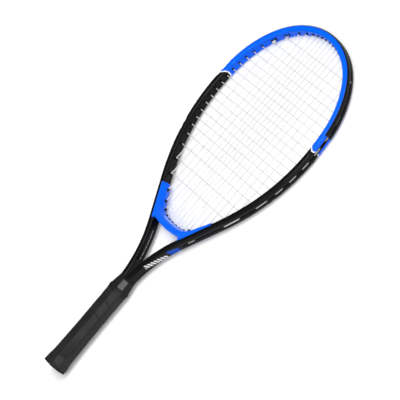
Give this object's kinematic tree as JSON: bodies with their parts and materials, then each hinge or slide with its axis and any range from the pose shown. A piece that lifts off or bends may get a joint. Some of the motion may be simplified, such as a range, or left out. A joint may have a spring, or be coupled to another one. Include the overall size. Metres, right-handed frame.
{
  "type": "tennis racket",
  "caption": "Strung tennis racket: bent tube frame with open throat, moulded throat bridge, head bumper, grommet strips, woven strings and a wrapped octagonal handle.",
  "frame": {"origin": "centre of the butt's end face", "axes": "+Y from the butt to the tip of the head, +X across the string bed, +Z out of the bed's front"},
  "size_m": [0.2544, 0.635, 0.0338],
  "materials": {
    "frame_paint": "gloss",
    "bridge_plastic": "gloss",
    "bumper_plastic": "satin",
    "grommet_plastic": "satin",
    "string": "gloss",
    "pallet_foam": "matt",
    "cap_plastic": "satin",
    "staple_steel": "bright",
    "grip": "satin, perforated synthetic wrap",
    "tape": "satin",
    "collar_rubber": "satin"
  },
  "bodies": {
    "root": {"frame_tube": "frame_paint", "throat_bridge": "bridge_plastic", "bumper_guard": "bumper_plastic", "grommet_strip_left": "grommet_plastic", "grommet_strip_right": "grommet_plastic", "bridge_grommets": "grommet_plastic", "main_string": "string", "cross_string": "string", "tie_off_knots": "string", "throat_wedge": "cap_plastic", "leg_plugs": "grommet_plastic", "pallet_front": "pallet_foam", "pallet_back": "pallet_foam", "pallet_pins": "grommet_plastic", "butt_cap": "cap_plastic", "butt_plug": "cap_plastic", "butt_staples": "staple_steel", "grip_wrap": "grip", "finishing_tape": "tape", "grip_collar": "collar_rubber"}
  },
  "joints": []
}
